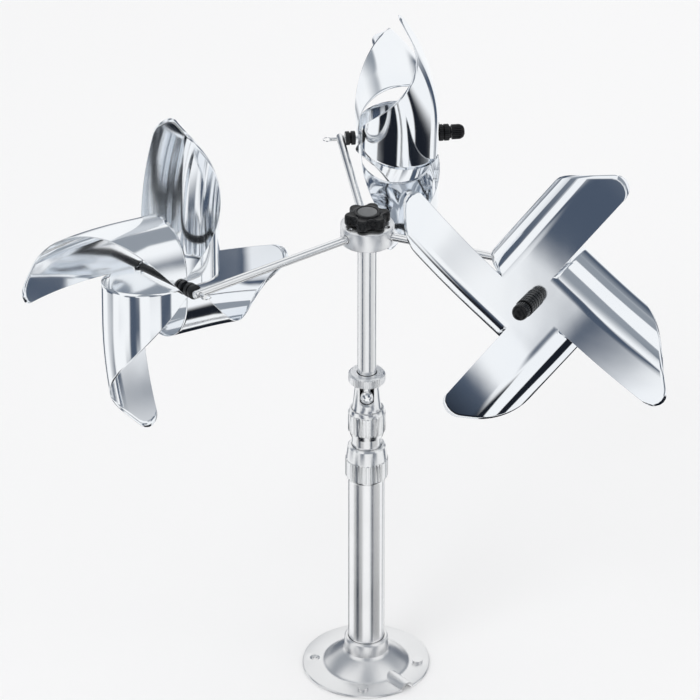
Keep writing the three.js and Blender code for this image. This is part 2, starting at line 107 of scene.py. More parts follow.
# The studio a mirror sees: rings of evenly spaced upright flags in front of white walls. Each
# ring has its height (the sine of its elevation), number of flags, their width and the first
# one's compass bearing in degrees (0 is +X, 270 is the camera's side), and their tone.
FLAG_RINGS = [
    (-0.64, 3, 62, 300, "dark"),
    (-0.46, 4, 18, 22, "slate"),
    (-0.26, 5, 24, 15, "slate"),
    (0.08, 6, 28, 38, "slate"),
    (0.60, 3, 52, 248, "grey"),
]
TONES = {
    "white": (0.98, 0.99, 1.00),
    "grey": (0.30, 0.33, 0.37),
    "slate": (0.075, 0.10, 0.145),
    "dark": (0.012, 0.015, 0.022),
}
SOFT_EDGE = 3.5
AMBIENT = 0.86

FLOOR_HALF = 6.0
# The soft lights: name, place and size in metres, and power in watts.
LIGHTS = [
    ("key", (-1.4, -1.6, 2.4), 1.4, 14),
    ("fill", (1.9, -1.2, 1.4), 1.6, 5),
    ("rim", (0.6, 1.9, 1.9), 1.2, 5),
]
LIT_POINT = Vector((0, 0, 0.25))


def mix_input(mix, name):
    """The input of a Mix node in use, whose sockets repeat their names by type."""
    return [s for s in mix.inputs if s.name == name and s.enabled][0]


def mix_output(mix):
    return [s for s in mix.outputs if s.enabled][0]


def ramp(tree, value, stops):
    """A colour ramp with the given (place, colour) stops."""
    node = tree.nodes.new("ShaderNodeValToRGB")
    elements = node.color_ramp.elements
    while len(elements) < len(stops):
        elements.new(0.5)
    for element, (place, color) in zip(elements, stops):
        element.position = place
        element.color = (*color, 1)
    tree.links.new(value, node.inputs["Fac"])
    return node.outputs["Color"]


def flag_stops(count, width, first, tone):
    """Ramp stops of a ring of flags, each with soft edges, from bearing 0 round to 360."""
    edges = []
    for flag in range(count):
        start = (first + flag * 360 / count) % 360
        edges.append((start, "white", tone))
        edges.append(((start + width) % 360, tone, "white"))
    stops = []
    for bearing, before, after in sorted(edges):
        stops.append((bearing / 360, TONES[before]))
        stops.append((min(bearing + SOFT_EDGE, 360) / 360, TONES[after]))
    return stops


def math_node(tree, operation, first, second=None):
    node = tree.nodes.new("ShaderNodeMath")
    node.operation = operation
    for socket, value in zip(node.inputs, (first, second)):
        if isinstance(value, bpy.types.NodeSocket):
            tree.links.new(value, socket)
        elif value is not None:
            socket.default_value = value
    return node.outputs[0]


def make_world():
    """White to the camera, an even light on the floor, and the flags in reflections."""
    world = bpy.data.worlds.new("studio")
    world.use_nodes = True
    tree = world.node_tree
    direction = tree.nodes.new("ShaderNodeTexCoord").outputs["Generated"]
    split = tree.nodes.new("ShaderNodeSeparateXYZ")
    tree.links.new(direction, split.inputs["Vector"])
    bearing = math_node(tree, "ARCTAN2", split.outputs["Y"], split.outputs["X"])
    turns = math_node(tree, "FRACT", math_node(tree, "MULTIPLY", bearing, 1 / (2 * math.pi)))
    tone = None
    for height, *flags in FLAG_RINGS:
        tier = ramp(tree, turns, flag_stops(*flags))
        if tone is None:
            tone, below = tier, height
            continue
        rise = tree.nodes.new("ShaderNodeMapRange")
        rise.inputs["From Min"].default_value = below
        rise.inputs["From Max"].default_value = height
        rise.interpolation_type = "SMOOTHSTEP"
        tree.links.new(split.outputs["Z"], rise.inputs["Value"])
        mix = tree.nodes.new("ShaderNodeMix")
        mix.data_type = "RGBA"
        tree.links.new(rise.outputs["Result"], mix_input(mix, "Factor"))
        tree.links.new(tone, mix_input(mix, "A"))
        tree.links.new(tier, mix_input(mix, "B"))
        tone, below = mix_output(mix), height
    reflected = tree.nodes["Background"]
    seen = tree.nodes.new("ShaderNodeBackground")
    ambient = tree.nodes.new("ShaderNodeBackground")
    tree.links.new(tone, reflected.inputs["Color"])
    seen.inputs["Color"].default_value = (1, 1, 1, 1)
    ambient.inputs["Color"].default_value = (AMBIENT, AMBIENT, AMBIENT, 1)
    rays = tree.nodes.new("ShaderNodeLightPath")
    shown = ambient.outputs[0]
    for ray, background in (("Is Glossy Ray", reflected), ("Is Camera Ray", seen)):
        choose = tree.nodes.new("ShaderNodeMixShader")
        tree.links.new(rays.outputs[ray], choose.inputs["Fac"])
        tree.links.new(shown, choose.inputs[1])
        tree.links.new(background.outputs[0], choose.inputs[2])
        shown = choose.outputs[0]
    tree.links.new(shown, tree.nodes["World Output"].inputs["Surface"])
    bpy.context.scene.world = world


def make_studio():
    """A plain pale floor under soft light. Mirrors see the world's tones in its place."""
    make_world()
    bpy.context.scene.view_settings.view_transform = "Standard"
    material = plain_material("studio_floor", (0.93, 0.93, 0.935), 0.8)
    corners = [(x * FLOOR_HALF, y * FLOOR_HALF, 0) for x, y in ((-1, -1), (1, -1), (1, 1), (-1, 1))]
    floor = stage_panel("floor", corners, material)
    floor.visible_glossy = False
    for name, location, size, power in LIGHTS:
        area_light(name, location, size, power)


# ---------------------------------------------------------------- materials


class Look:
    """A node material around one Principled shader, with short ways to add detail."""

    def __init__(self, name):
        self.material = bpy.data.materials.new(name)
        self.material.use_nodes = True
        self.tree = self.material.node_tree
        self.shader = self.tree.nodes["Principled BSDF"]
        self.place = self.node("ShaderNodeTexCoord").outputs["Object"]
        self.height = None

    def node(self, kind, **values):
        made = self.tree.nodes.new(kind)
        for key, value in values.items():
            if key in made.inputs:
                made.inputs[key].default_value = value
            else:
                setattr(made, key, value)
        return made

    def link(self, output, target):
        self.tree.links.new(output, target)

    def set(self, **values):
        for key, value in values.items():
            self.shader.inputs[key.replace("_", " ")].default_value = value

    def stretched(self, scale):
        """Object coordinates stretched along an axis, in noise cells per metre."""
        mapping = self.node("ShaderNodeMapping")
        mapping.inputs["Scale"].default_value = scale
        self.link(self.place, mapping.inputs["Vector"])
        return mapping.outputs["Vector"]

    def noise(self, scale, detail=4.0, roughness=0.55, vector=None):
        noise = self.node("ShaderNodeTexNoise", Scale=scale, Detail=detail, Roughness=roughness)
        self.link(vector or self.place, noise.inputs["Vector"])
        return noise.outputs["Fac"]

    def spread(self, value, low, high):
        """Maps a 0 to 1 value to the range low to high."""
        spread = self.node("ShaderNodeMapRange")
        spread.inputs["From Min"].default_value = 0.3
        spread.inputs["From Max"].default_value = 0.7
        spread.inputs["To Min"].default_value = low
        spread.inputs["To Max"].default_value = high
        self.link(value, spread.inputs["Value"])
        return spread.outputs["Result"]

    def blend(self, factor, first, second):
        mix = self.node("ShaderNodeMix", data_type="RGBA")
        mix_input(mix, "A").default_value = (*first, 1)
        mix_input(mix, "B").default_value = (*second, 1)
        self.link(factor, mix_input(mix, "Factor"))
        return mix_output(mix)

    def edge_wear_and_highlight(self, strength=1.0):
        """High on convex edges: rubbed wear on the aluminium, and a painted highlight on the black plastic."""
        point = self.node("ShaderNodeNewGeometry").outputs["Pointiness"]
        ramp = self.node("ShaderNodeMapRange")
        ramp.inputs["From Min"].default_value = 0.52
        ramp.inputs["From Max"].default_value = 0.62
        ramp.inputs["To Max"].default_value = strength
        self.link(point, ramp.inputs["Value"])
        return ramp.outputs["Result"]

    def bump(self, value, distance, strength=1.0):
        bump = self.node("ShaderNodeBump", Distance=distance, Strength=strength)
        self.link(value, bump.inputs["Height"])
        if self.height is not None:
            self.link(self.height, bump.inputs["Normal"])
        self.height = bump.outputs["Normal"]
        self.link(self.height, self.shader.inputs["Normal"])


def stainless(name, grain_axis=2, tone=(0.90, 0.905, 0.91), roughness=(0.16, 0.26)):
    """Polished steel tube with fine brushing, drawn along the grain axis."""
    look = Look(name)
    look.set(Metallic=1.0)
    scale = [900.0, 900.0, 900.0]
    scale[grain_axis] = 18.0
    grain = look.noise(1.0, 3.0, 0.6, look.stretched(scale))
    clouds = look.noise(22.0, 3.0)
    look.link(look.spread(clouds, *roughness), look.shader.inputs["Roughness"])
    darker = tuple(c * 0.9 for c in tone)
    look.link(look.blend(look.spread(clouds, 0, 1), darker, tone), look.shader.inputs["Base Color"])
    look.bump(grain, 0.00004, 0.35)
    return look.material


def satin_metal(name):
    """Turned aluminium: fine rings round Z and a soft sheen."""
    look = Look(name)
    look.set(Metallic=1.0)
    rings = look.noise(1.0, 2.0, 0.5, look.stretched((60.0, 60.0, 1600.0)))
    clouds = look.noise(60.0, 3.0)
    look.link(look.spread(clouds, 0.26, 0.4), look.shader.inputs["Roughness"])
    look.link(look.blend(look.edge_wear_and_highlight(), (0.88, 0.885, 0.89), (0.96, 0.965, 0.97)),
              look.shader.inputs["Base Color"])
    look.bump(rings, 0.00005, 0.4)
    return look.material


def mirror_film(name):
    """Thin mirror plastic: sharp reflections, bent a little by soft ripples and fine creases."""
    look = Look(name)
    look.set(Metallic=1.0)
    ripples = look.noise(11.0, 1.0, 0.4)
    creases = look.noise(45.0, 1.5, 0.4)
    haze = look.noise(9.0, 4.0)
    look.link(look.spread(haze, 0.03, 0.11), look.shader.inputs["Roughness"])
    look.link(look.blend(look.spread(haze, 0, 1), (0.84, 0.87, 0.91), (0.93, 0.945, 0.96)),
              look.shader.inputs["Base Color"])
    look.bump(ripples, 0.005, 0.35)
    look.bump(creases, 0.0005, 0.12)
    return look.material


def black_plastic(name):
    """Moulded black plastic with a fine grain, and a painted highlight: paler on its convex edges."""
    look = Look(name)
    look.set(Specular_IOR_Level=0.2)
    grain = look.noise(2600.0, 2.0)
    clouds = look.noise(120.0, 3.0)
    look.link(look.spread(clouds, 0.13, 0.24), look.shader.inputs["Roughness"])
    # Paler convex edges: a painted highlight.
    look.link(look.blend(look.edge_wear_and_highlight(0.7), (0.004, 0.0042, 0.005), (0.05, 0.052, 0.056)),
              look.shader.inputs["Base Color"])
    look.bump(grain, 0.00006, 0.3)
    return look.material


def soft_matt(name, first, second):
    """Matt rubber or plastic with a dusty, uneven tone."""
    look = Look(name)
    clouds = look.noise(90.0, 4.0)
    grain = look.noise(2200.0, 2.0)
    look.link(look.spread(clouds, 0.55, 0.8), look.shader.inputs["Roughness"])
    look.link(look.blend(look.spread(clouds, 0, 1), first, second), look.shader.inputs["Base Color"])
    look.bump(grain, 0.00008, 0.4)
    return look.material


def chrome(name):
    look = Look(name)
    look.set(Metallic=1.0)
    haze = look.noise(200.0, 3.0)
    look.link(look.spread(haze, 0.04, 0.12), look.shader.inputs["Roughness"])
    look.link(look.blend(look.spread(haze, 0, 1), (0.86, 0.865, 0.87), (0.93, 0.935, 0.94)),
              look.shader.inputs["Base Color"])
    return look.material


SHARP_DEG = 28  # faces that meet at more than this keep a hard edge


def dress_frame():
    """Gives every CAD node its material and smooth round faces, and returns the materials."""
    looks = {
        "stainless": stainless("polished_stainless"),
        "tube_steel": stainless("drawn_tube_steel", tone=(0.97, 0.97, 0.975), roughness=(0.19, 0.27)),
        "pressed_steel": stainless("pressed_flange_steel", tone=(0.88, 0.88, 0.88), roughness=(0.26, 0.36)),
        "satin_aluminium": satin_metal("turned_aluminium"),
        "ball_chrome": chrome("ball_chrome"),
        "mirror_film": mirror_film("mirror_film"),
        "black_plastic": black_plastic("black_plastic"),
        "grey_plastic": soft_matt("grey_plastic", (0.12, 0.125, 0.13), (0.19, 0.195, 0.2)),
        "rubber": soft_matt("rubber", (0.015, 0.015, 0.016), (0.035, 0.035, 0.036)),
    }
    for name, node in NODES.items():
        node.data.materials.clear()
        node.data.materials.append(looks[SLOT_OF[name]])
        node.data.shade_smooth()
        node.data.set_sharp_from_angle(angle=math.radians(SHARP_DEG))
    return looks


# ---------------------------------------------------------------- mirror sheets

# One square sheet, cut from its corners towards the middle. Alternate corners are rolled
# back to the rear of the axle. Sizes in mm, as in the CAD.
SHEET_FRONT = 65
SHEET_HALF_DIAGONAL = 118
SHEET_PIN_FROM_CENTRE = 112
SHEET_TAB_RADIUS = 4.5
SHEET_FLAT = 24
SHEET_FLAT_TIP = 10
CURL_EXPONENT = 0.739
CORNER_ROUND = 9
CORNER_SWEEP = {"a": 38, "b": 27, "c": 12}
REST_PHASE = {"a": 9, "b": 6, "c": 325}
TIP_STACK = 0.9
FILM_THICKNESS = 0.35
BLADES = 4
FLAT_STEPS = 8
BEND_STEPS = 52
OUTER_STEPS = 20


def curl_path(rows):
    """Where the blade runs at each row: (out, back), walked along the curl in small steps."""
    turning = SHEET_PIN_FROM_CENTRE - SHEET_FLAT - SHEET_FLAT_TIP
    path, out, back, s = [], 0.0, 0.0, 0.0
    step = 0.05
    for row in rows:
        while s < row - step / 2:
            along = min(1, max(0, s + step / 2 - SHEET_FLAT) / turning)
            heading = math.pi * along ** CURL_EXPONENT
            out += math.cos(heading) * step
            back += math.sin(heading) * step
            s += step
        path.append((out, back))
    return path


def blade_reach(s):
    """(near, far) edge of the blade at distance s along the curl."""
    corner = SHEET_HALF_DIAGONAL - CORNER_ROUND * (1 + math.sqrt(2))
    if s < CORNER_ROUND * (1 + math.sqrt(0.5)):
        far = corner + math.sqrt(max(0, CORNER_ROUND ** 2 - (s - CORNER_ROUND) ** 2))
    else:
        far = SHEET_HALF_DIAGONAL - s
    from_pin = abs(s - SHEET_PIN_FROM_CENTRE)
    if from_pin < SHEET_TAB_RADIUS:
        tab = math.sqrt(SHEET_TAB_RADIUS ** 2 - from_pin ** 2)
        return -tab, max(far, tab, 0.8)
    return 0.0, max(far, 0.8)


def blade_rows():
    """Rows along the curl: even steps in the flat middle, close together round the corner."""
    step = SHEET_FLAT / FLAT_STEPS
    start = [CORNER_ROUND * (1 - math.cos(math.radians(t))) for t in range(10, 60, 10)]
    flat = [i * step for i in range(FLAT_STEPS + 1)]
    end = SHEET_PIN_FROM_CENTRE + SHEET_TAB_RADIUS
    bend = [SHEET_FLAT + (end - SHEET_FLAT) * (i / BEND_STEPS) for i in range(1, BEND_STEPS + 1)]
    return sorted(set(flat + [r for r in start if r < step * 0.9] + bend))


def blade_columns(near, far):
    """Distances across a row: even steps over the flat middle, then even steps to the edge."""
    inner = min(SHEET_FLAT, far * 0.5)
    first = [near * (1 - i / FLAT_STEPS) + inner * i / FLAT_STEPS for i in range(FLAT_STEPS + 1)]
    rest = [inner + (far - inner) * (i / OUTER_STEPS) for i in range(1, OUTER_STEPS + 1)]
    return first + rest


def spin_joint(name):
    return [j for j in frame["joints"] if j["name"] == f"pinwheel_{name}_spin"][0]


def make_sheet(name):
    """The whole mirror sheet of one pinwheel, as one smooth surface with a thin wall."""
    joint = spin_joint(name)
    forward = Vector(joint["axis"]).normalized()
    up = (Vector((0, 0, 1)) - forward * forward.z).normalized()
    side = forward.cross(up)
    rows = blade_rows()
    path = curl_path(rows)
    mesh = bmesh.new()
    for blade in range(BLADES):
        angle = math.radians(REST_PHASE[name] + 360 / BLADES * blade)
        along_a = up * math.cos(angle) + side * math.sin(angle)
        along_b = side * math.cos(angle) - up * math.sin(angle)
        grid = []
        for s, (out, back) in zip(rows, path):
            near, far = blade_reach(s)
            line = []
            for a in blade_columns(near, far):
                past_flat = max(0, a - SHEET_FLAT) / (SHEET_HALF_DIAGONAL - SHEET_FLAT)
                sweep = CORNER_SWEEP[name] * past_flat ** 2
                late = blade * TIP_STACK * (max(0, s - SHEET_FLAT) / SHEET_PIN_FROM_CENTRE) ** 2
                depth = SHEET_FRONT - back - sweep - late
                place = Vector(joint["pos_m"]) + MM * (along_a * a + along_b * out + forward * depth)
                line.append(mesh.verts.new(place))
            grid.append(line)
        for low, high in zip(grid, grid[1:]):
            for i in range(len(low) - 1):
                mesh.faces.new((low[i], low[i + 1], high[i + 1], high[i]))
    bmesh.ops.remove_doubles(mesh, verts=mesh.verts, dist=0.00002)
    hub = Vector(joint["pos_m"]) + forward * SHEET_FRONT * MM
    pin_hole = [v for v in mesh.verts if (v.co - hub).length < 0.0005]
    bmesh.ops.delete(mesh, geom=pin_hole, context="VERTS")
    data = bpy.data.meshes.new(f"mirror_sheet_{name}")
    mesh.to_mesh(data)
    mesh.free()
    data.materials.append(LOOKS["mirror_film"])
    data.shade_smooth()
    sheet = bpy.data.objects.new(f"mirror_sheet_{name}", data)
    bpy.context.scene.collection.objects.link(sheet)
    wall = sheet.modifiers.new("wall", "SOLIDIFY")
    wall.thickness = FILM_THICKNESS * MM
    wall.offset = 0
    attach(sheet, f"pinwheel_{name}")
    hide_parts(f"blade_sheet_{name}")


# ---------------------------------------------------------------- turned and fluted pieces

# Driving sizes in mm, as in the CAD.
GAP = 0.3
AXLE_BORE = 1.48
MAST = {"radius": 12.7, "bore": 11.1, "top": 158}
EXTENSION = {"radius": 10.3, "bore": 8.9, "bottom": 62, "top": 196}
NUT_BORE = EXTENSION["radius"] + GAP
LOWER_NUT = {"bottom": 156.3, "knurl": 158.4, "knurl_top": 171.6, "top": 182.5, "radius": 14.7}
UPPER_NUT = {"bottom": 190.2, "knurl": 194.5, "knurl_top": 208.1, "top": 211.5, "radius": 12.85}
LOCK_RING = {"bottom": 232.3, "knurl": 233.4, "knurl_top": 238.4, "top": 239.6, "radius": 12.6, "bore": 7}
BALL = {"z": 221.2, "radius": 6.8, "stem": 4.4, "stem_top": 246.6}
POLE = {"radius": 6.45, "bottom": 234.6, "top": 339.4}
CUP = {"bottom": 186.5, "top": 232.0, "plug": 8.6, "radius": 8.3, "bore": 7.1, "slot": 4.9}
FLANGE = {"radius": 45, "plate": 2.0, "dome": 30.3, "rise": 14.6, "shell": 1.6, "bore": 13}
COLLAR = {"radius": 15.5, "top": 23.9}
TUNNEL = {"bearing": -50, "radius": 6, "bore": 4.6, "roof_start": 24, "bore_start": 20, "end": 50}
SCREW_HOLE = {"count": 4, "first": -4, "circle": 36.5, "radius": 2.2, "sink": 3.6}
HUB = {"radius": 18, "bottom": 340.9, "top": 353.8, "hole": 5, "bore": 9.3, "lip": 1.2}
KNOB = {"bottom": 354.4, "radius": 13.6, "lobes": 6, "first": 13, "lobe_rise": 1.9, "bore": 4.3}
ARM = {"count": 3, "first": 97.6, "z": 347.3, "radius": 2.75, "inner": 11.8, "outer": 141.75}
REAR_HUB = {"start": 3.4, "radius": 4.9, "waist": 3.9}
FRONT_HUB = {"start": 65.6, "radius": 5.9, "neck": 4.3, "end": 77.8}
FRONT_CAP = {"start": 78.1, "radius": 5.3, "end": 87.5, "bore_end": 82.3}
FLUTE = 0.45

# Pieces whose finish differs from their slot's usual one.
OWN_LOOK = {"base_flange": "pressed_steel", "mast_tube": "tube_steel"}


def turned(profile, sides=96, outline=None):
    """A solid turned about Z from (radius, z) corners in mm. It is bored when no radius is 0.

    With an outline, a corner's radius is outline(radius, z, angle)."""
    solid = bmesh.new()
    rings = []
    for radius, z in profile:
        if radius == 0:
            rings.append([solid.verts.new((0, 0, z * MM))] * sides)
            continue
        ring = []
        for i in range(sides):
            angle = 2 * math.pi * i / sides
            r = outline(radius, z, angle) if outline else radius
            ring.append(solid.verts.new((r * MM * math.cos(angle), r * MM * math.sin(angle), z * MM)))
        rings.append(ring)
    if profile[0][0] > 0:
        rings.append(rings[0])
    for low, high in zip(rings, rings[1:]):
        for i in range(sides):
            j = (i + 1) % sides
            corners = list(dict.fromkeys((low[i], low[j], high[j], high[i])))
            if len(corners) > 2:
                solid.faces.new(corners)
    bmesh.ops.recalc_face_normals(solid, faces=solid.faces)
    return solid


def fluted(count, depth, low, high, ridge=0.6):
    """An outline with straight flutes between two heights."""
    def outline(radius, z, angle):
        if not low <= z <= high or radius < 1:
            return radius
        turn = (angle * count / (2 * math.pi)) % 1
        return radius if turn < ridge else radius - depth
    return outline


def placed(solid, matrix):
    """Moves a solid from its own frame to where it sits."""
    bmesh.ops.transform(solid, matrix=matrix, verts=solid.verts)
    return solid


def object_of(name, solid):
    data = bpy.data.meshes.new(name)
    solid.to_mesh(data)
    solid.free()
    made = bpy.data.objects.new(name, data)
    bpy.context.scene.collection.objects.link(made)
    return made


def combined(name, body, steps):
    """The body with other solids added or cut away, as one plain mesh."""
    made = object_of(name, body)
    for operation, tool in steps:
        cutter = object_of(f"{name}_tool", tool)
        change = made.modifiers.new("change", "BOOLEAN")
        change.operation = operation
        change.solver = "EXACT"
        change.object = cutter
        bpy.context.view_layer.update()
        result = bpy.data.meshes.new_from_object(made.evaluated_get(bpy.context.evaluated_depsgraph_get()))
        made.modifiers.clear()
        old, made.data = made.data, result
        bpy.data.meshes.remove(old)
        tool_mesh = cutter.data
        bpy.data.objects.remove(cutter)
        bpy.data.meshes.remove(tool_mesh)
    made.data.name = name
    return made


def stands_for(made, node, sharp=SHARP_DEG):
    """Dresses a fine piece and lets it stand in for its CAD node."""
    slot = SLOT_OF[node]
    made.data.materials.clear()
    made.data.materials.append(LOOKS[OWN_LOOK.get(node, slot)])
    made.data.shade_smooth()
    made.data.set_sharp_from_angle(angle=math.radians(sharp))
    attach(made, BODY_OF[node])
    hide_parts(node)


def fine(node, profile, sides=96, outline=None, matrix=None, sharp=SHARP_DEG):
    solid = turned(profile, sides, outline)
    if matrix is not None:
        placed(solid, matrix)
    stands_for(object_of(f"fine_{node}", solid), node, sharp)


def tube(outer, inner, low, high, edge=0.25):
    return [(inner, low), (outer - edge, low), (outer, low + edge), (outer, high - edge),
            (outer - edge, high), (inner, high)]


def rod_solid(radius, low, high, matrix, sides=48):
    return placed(turned([(0, low), (radius, low), (radius, high), (0, high)], sides), matrix)


def lying(bearing, z=0.0):
    """The frame of a rod that lies level at height z in mm and points along a compass bearing."""
    turn = Matrix.Rotation(math.radians(bearing), 4, "Z") @ Matrix.Rotation(math.radians(90), 4, "Y")
    return Matrix.Translation((0, 0, z * MM)) @ turn


def arc(radius, z, start, end, step=5):
    """Corners of an upright arc centred on the axis at height z, by elevation in degrees."""
    angles = [math.radians(degrees) for degrees in range(start, end, step)]
    return [(radius * math.cos(t), z + radius * math.sin(t)) for t in angles]


def make_tubes():
    """The mast and the tube that slides in it."""
    fine("mast_tube", tube(MAST["radius"], MAST["bore"], 0, MAST["top"]))
    fine("extension_tube", tube(EXTENSION["radius"], EXTENSION["bore"], EXTENSION["bottom"],
                                EXTENSION["top"]))


def make_nuts():
    """The two lock nuts and the lock ring, with straight flutes between smooth shoulders."""
    low, high, r = LOWER_NUT["knurl"], LOWER_NUT["knurl_top"], LOWER_NUT["radius"]
    fine("lower_lock_nut", [
        (13.0, LOWER_NUT["bottom"]), (13.6, LOWER_NUT["bottom"]), (r - FLUTE, low - 0.8),
        (r - FLUTE, low - 0.4), (r, low), (r, high), (r - FLUTE, high + 0.4), (r - FLUTE, high + 1.3),
        (13.0, LOWER_NUT["top"] - 1), (12.2, LOWER_NUT["top"]), (NUT_BORE, LOWER_NUT["top"]),
        (NUT_BORE, LOWER_NUT["top"] - 5), (13.0, LOWER_NUT["top"] - 7),
    ], 288, fluted(36, 0.5, low - 0.2, high + 0.2))
    low, high, r = UPPER_NUT["knurl"], UPPER_NUT["knurl_top"], UPPER_NUT["radius"]
    fine("upper_lock_nut", [
        (NUT_BORE, UPPER_NUT["bottom"]), (11.2, UPPER_NUT["bottom"]), (12.2, low - 1.1),
        (r - FLUTE, low - 0.5), (r, low), (r, high), (r - FLUTE, high + 0.5), (r - FLUTE, high + 1.1),
        (11.6, UPPER_NUT["top"]), (NUT_BORE, UPPER_NUT["top"]),
    ], 256, fluted(32, 0.5, low - 0.2, high + 0.2))
    low, high, r = LOCK_RING["knurl"], LOCK_RING["knurl_top"], LOCK_RING["radius"]
    fine("lock_ring", [
        (LOCK_RING["bore"], LOCK_RING["bottom"]), (r - 1, LOCK_RING["bottom"]), (r - FLUTE, low - 0.5),
        (r - FLUTE, low - 0.3), (r, low), (r, high), (r - FLUTE, high + 0.4), (r - 0.7, high + 0.7),
        (r - 1.4, LOCK_RING["top"]), (LOCK_RING["bore"], LOCK_RING["top"]),
    ], 320, fluted(40, 0.5, low - 0.2, high + 0.2, 0.55))


def make_pole():
    """The pole, and the ball with its stem."""
    r, stem_hole, stem_end = POLE["radius"], BALL["stem"] + GAP, BALL["stem_top"] + GAP
    fine("pole", [
        (0, stem_end), (stem_hole, stem_end), (stem_hole, POLE["bottom"]), (r - 0.25, POLE["bottom"]),
        (r, POLE["bottom"] + 0.25), (r, POLE["top"] - 0.3), (r - 0.25, POLE["top"]),
        (4.3, POLE["top"]), (4.3, POLE["top"] - 9.7), (0, POLE["top"] - 9.7),
    ], 64)
    ball = arc(BALL["radius"], BALL["z"], -85, 50)
    stem = [(BALL["stem"], BALL["z"] + 5.4), (BALL["stem"], BALL["stem_top"]), (0, BALL["stem_top"])]
    fine("ball_stud", [(0, BALL["z"] - BALL["radius"])] + ball + stem, 64)


def make_cup():
    """The slotted cup. The slot faces the camera's side."""
    body = turned([
        (0, CUP["bottom"]), (CUP["plug"], CUP["bottom"]), (CUP["plug"], 196.3), (10.3, 196.3),
        (10.3, 211.8), (10.1, 212.4), (9.7, 213.4), (8.35, 227.8), (CUP["radius"], 228.4),
        (CUP["radius"], CUP["top"] - 0.4), (CUP["radius"] - 0.4, CUP["top"]), (0, CUP["top"]),
    ])
    above = CUP["top"] + 4
    hollow = arc(CUP["bore"], BALL["z"], -85, 5)
    bore = turned([(0, BALL["z"] - CUP["bore"])] + hollow + [(CUP["bore"], above), (0, above)], 64)
    depth = 20
    round_end = rod_solid(CUP["slot"], 0, depth, lying(-90, BALL["z"]))
    slot = bmesh.new()
    bmesh.ops.create_cube(slot, size=1)
    width, height, middle = 2 * CUP["slot"], above - BALL["z"], (above + BALL["z"]) / 2
    bmesh.ops.scale(slot, vec=(width * MM, depth * MM, height * MM), verts=slot.verts)
    bmesh.ops.translate(slot, vec=(0, -depth / 2 * MM, middle * MM), verts=slot.verts)
    steps = [("DIFFERENCE", bore), ("DIFFERENCE", round_end), ("DIFFERENCE", slot)]
    stands_for(combined("fine_ball_cup", body, steps), "ball_cup")


def at_bearing(distance, bearing):
    """Moves a piece out from the axis, in mm, along a compass bearing in degrees."""
    angle = math.radians(bearing)
    return Matrix.Translation((distance * MM * math.cos(angle), distance * MM * math.sin(angle), 0))


def make_flange():
    """The domed flange, its tunnel and its four countersunk holes."""
    plate, radius, dome = FLANGE["plate"], FLANGE["radius"], FLANGE["dome"]
    radii = [dome - 0.75 * i for i in range(19)]
    outside = [(r, plate + FLANGE["rise"] * (1 - (r / dome) ** 2)) for r in radii]
    inside = [(r - FLANGE["shell"], z - 2.0) for r, z in outside]
    rim_profile = [
        (dome - FLANGE["shell"], 0), (radius - 0.2, 0), (radius, 0.2), (radius, plate - 0.6),
        (radius - 0.2, plate - 0.2), (radius - 0.6, plate), (dome + 1.1, plate), (dome + 0.4, plate + 0.1),
    ]
    r, top = COLLAR["radius"], COLLAR["top"]
    collar_profile = [
        (r + 0.4, 13.2), (r, 13.6), (r, top - 1.3), (r - 0.3, top - 0.6), (r - 1, top),
        (FLANGE["bore"], top),
    ]
    start = [(FLANGE["bore"], inside[-1][1])]
    body = turned(start + inside[:0:-1] + rim_profile + outside[1:] + collar_profile, 160)
    rim = turned([(0, 0.05), (radius - 0.3, 0.05), (radius - 0.3, 9), (0, 9)], 160)
    along = lying(TUNNEL["bearing"])
    outer = rod_solid(TUNNEL["radius"], TUNNEL["roof_start"], TUNNEL["end"], along, 64)
    roof = combined("roof", outer, [("INTERSECT", rim)])
    shape = bmesh.new()
    shape.from_mesh(roof.data)
    bpy.data.objects.remove(roof)
    passage = rod_solid(TUNNEL["bore"], TUNNEL["bore_start"], TUNNEL["end"], along, 64)
    steps = [("UNION", shape), ("DIFFERENCE", passage)]
    for hole in range(SCREW_HOLE["count"]):
        bearing = SCREW_HOLE["first"] + hole * 360 / SCREW_HOLE["count"]
        drill = turned([
            (0, -4), (SCREW_HOLE["radius"], -4), (SCREW_HOLE["radius"], plate - 1),
            (SCREW_HOLE["sink"], plate + 0.01), (SCREW_HOLE["sink"], plate + 2), (0, plate + 2),
        ], 40)
        steps.append(("DIFFERENCE", placed(drill, at_bearing(SCREW_HOLE["circle"], bearing))))
    stands_for(combined("fine_base_flange", body, steps), "base_flange")


def make_hub():
    """The hub with its three arm sockets and grub screw holes."""
    r, bottom, top = HUB["radius"], HUB["bottom"], HUB["top"]
    body = turned([
        (HUB["hole"], bottom), (r - 0.5, bottom), (r, bottom + 0.5), (r, top - 0.9), (r - 0.3, top - 0.3),
        (r - 0.9, top), (HUB["hole"], top), (HUB["hole"], top - HUB["lip"]),
        (HUB["bore"], top - HUB["lip"]), (HUB["bore"], bottom + HUB["lip"]),
        (HUB["hole"], bottom + HUB["lip"]),
    ], 128)
    steps = []
    for arm in range(ARM["count"]):
        bearing = ARM["first"] + arm * 360 / ARM["count"]
        socket = rod_solid(ARM["radius"] + GAP, 11.5, 22, lying(bearing, ARM["z"]))
        screw_hole = rod_solid(1.8, ARM["z"], top + 2.2, at_bearing(14.4, bearing), 32)
        steps += [("DIFFERENCE", socket), ("DIFFERENCE", screw_hole)]
    stands_for(combined("fine_rotor_hub", body, steps), "rotor_hub")


def star(radius, z, angle):
    """Rounded lobes on the knob's outer corners, plain circles inside them."""
    if radius < 10:
        return radius
    wave = math.cos(KNOB["lobes"] * (angle - math.radians(KNOB["first"])))
    return radius + KNOB["lobe_rise"] * math.copysign(abs(wave) ** 0.7, wave)


